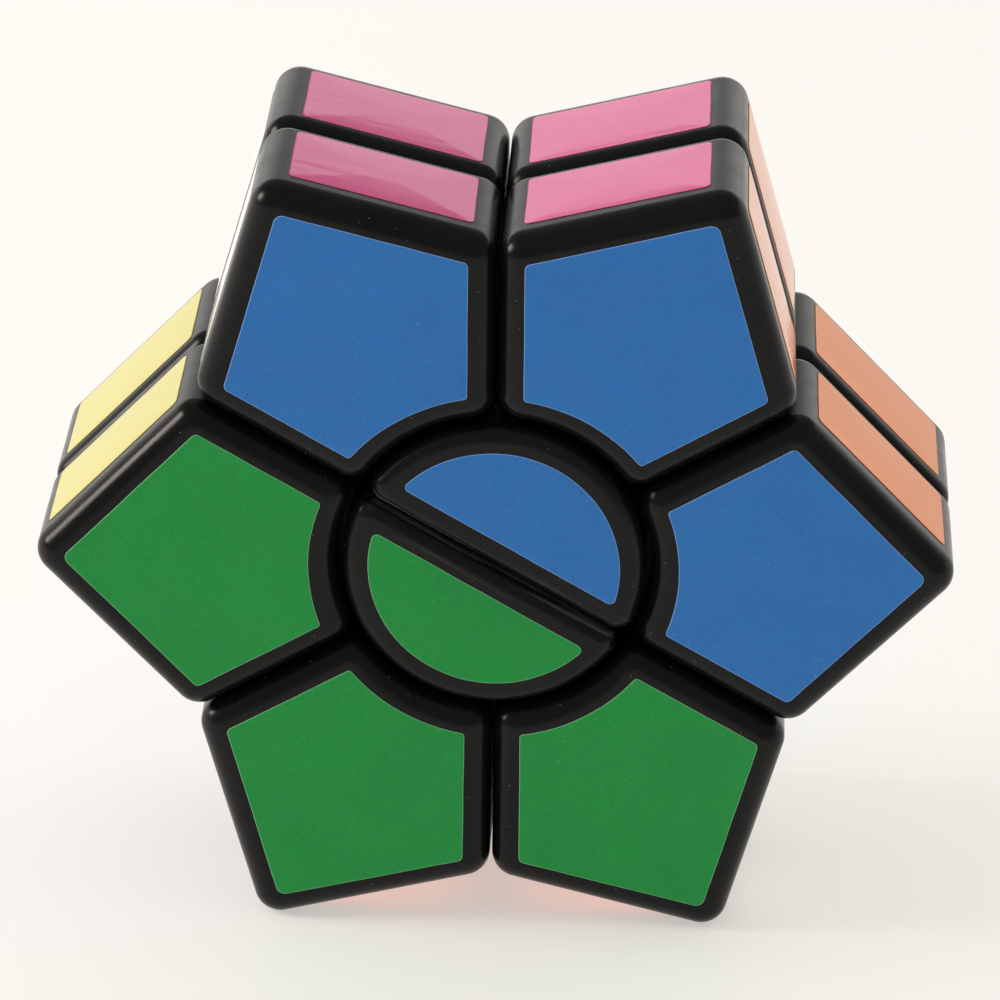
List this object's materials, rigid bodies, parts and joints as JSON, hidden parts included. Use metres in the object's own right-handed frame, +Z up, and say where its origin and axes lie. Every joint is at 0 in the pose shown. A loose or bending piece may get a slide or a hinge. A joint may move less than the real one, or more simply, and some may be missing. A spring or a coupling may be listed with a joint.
{
  "type": "two-layer star twisty puzzle",
  "caption": "Two-layer six-petal star twisty puzzle with a split core; both layers turn about the main axis and one half turns across a flat cut.",
  "frame": {"origin": "centre of the whole puzzle, where the main axis, the middle plane and the cut meet", "axes": "+Z up as the puzzle stands on two petal tips, front face towards -Y, main axis along Y"},
  "size_m": [0.0894, 0.0362, 0.0782],
  "materials": {
    "black_shell": "satin moulded",
    "black_base": "matt moulded",
    "black_core": "matt moulded",
    "screw_steel": "zinc plated",
    "spring_steel": "drawn wire",
    "white_sticker": "satin vinyl film",
    "pink_sticker": "satin vinyl film",
    "orange_sticker": "satin vinyl film",
    "yellow_sticker": "satin vinyl film",
    "purple_sticker": "satin vinyl film",
    "red_sticker": "satin vinyl film",
    "blue_sticker": "satin vinyl film",
    "green_sticker": "satin vinyl film"
  },
  "bodies": {
    "core_a": {"core_half_a": "black_core", "front_cap_a": "black_shell", "front_cap_a_sticker": "blue_sticker", "rear_cap_a": "black_shell", "rear_cap_a_sticker": "green_sticker", "slash_screw": "screw_steel", "slash_spring": "spring_steel"},
    "core_b": {"core_half_b": "black_core", "front_cap_b": "black_shell", "front_cap_b_sticker": "green_sticker", "rear_cap_b": "black_shell", "rear_cap_b_sticker": "blue_sticker", "slash_washer": "screw_steel"},
    "front_petals_a": {"front_right_shell": "black_shell", "front_right_base": "black_base", "front_upper_right_shell": "black_shell", "front_upper_right_base": "black_base", "front_upper_left_shell": "black_shell", "front_upper_left_base": "black_base", "front_a_face_stickers": "blue_sticker", "front_a_white_stickers": "white_sticker", "front_a_pink_stickers": "pink_sticker", "front_a_orange_stickers": "orange_sticker", "front_a_yellow_stickers": "yellow_sticker"},
    "front_petals_b": {"front_left_shell": "black_shell", "front_left_base": "black_base", "front_lower_left_shell": "black_shell", "front_lower_left_base": "black_base", "front_lower_right_shell": "black_shell", "front_lower_right_base": "black_base", "front_b_face_stickers": "green_sticker", "front_b_yellow_stickers": "yellow_sticker", "front_b_purple_stickers": "purple_sticker", "front_b_red_stickers": "red_sticker", "front_b_white_stickers": "white_sticker"},
    "rear_petals_a": {"rear_right_shell": "black_shell", "rear_right_base": "black_base", "rear_upper_right_shell": "black_shell", "rear_upper_right_base": "black_base", "rear_upper_left_shell": "black_shell", "rear_upper_left_base": "black_base", "rear_a_face_stickers": "green_sticker", "rear_a_white_stickers": "white_sticker", "rear_a_pink_stickers": "pink_sticker", "rear_a_orange_stickers": "orange_sticker", "rear_a_yellow_stickers": "yellow_sticker"},
    "rear_petals_b": {"rear_left_shell": "black_shell", "rear_left_base": "black_base", "rear_lower_left_shell": "black_shell", "rear_lower_left_base": "black_base", "rear_lower_right_shell": "black_shell", "rear_lower_right_base": "black_base", "rear_b_face_stickers": "blue_sticker", "rear_b_yellow_stickers": "yellow_sticker", "rear_b_purple_stickers": "purple_sticker", "rear_b_red_stickers": "red_sticker", "rear_b_white_stickers": "white_sticker"}
  },
  "joints": [
    {"name": "slash_turn", "type": "hinge", "parent": "core_a", "child": "core_b", "pos_m": [0, 0, 0], "axis": [0.5, 0, 0.866], "range_deg": [-180, 180]},
    {"name": "front_turn", "type": "hinge", "parent": "core_a", "child": "front_petals_a", "pos_m": [0, 0, 0], "axis": [0, -1, 0], "range_deg": [-180, 180]},
    {"name": "front_turn_b", "type": "hinge", "parent": "core_b", "child": "front_petals_b", "pos_m": [0, 0, 0], "axis": [0, -1, 0], "range_deg": [-180, 180]},
    {"name": "rear_turn", "type": "hinge", "parent": "core_a", "child": "rear_petals_a", "pos_m": [0, 0, 0], "axis": [0, 1, 0], "range_deg": [-180, 180]},
    {"name": "rear_turn_b", "type": "hinge", "parent": "core_b", "child": "rear_petals_b", "pos_m": [0, 0, 0], "axis": [0, 1, 0], "range_deg": [-180, 180]}
  ],
  "couplings": [
    {"joint": "front_turn_b", "follows": "front_turn", "ratio": 1},
    {"joint": "rear_turn_b", "follows": "rear_turn", "ratio": 1}
  ]
}
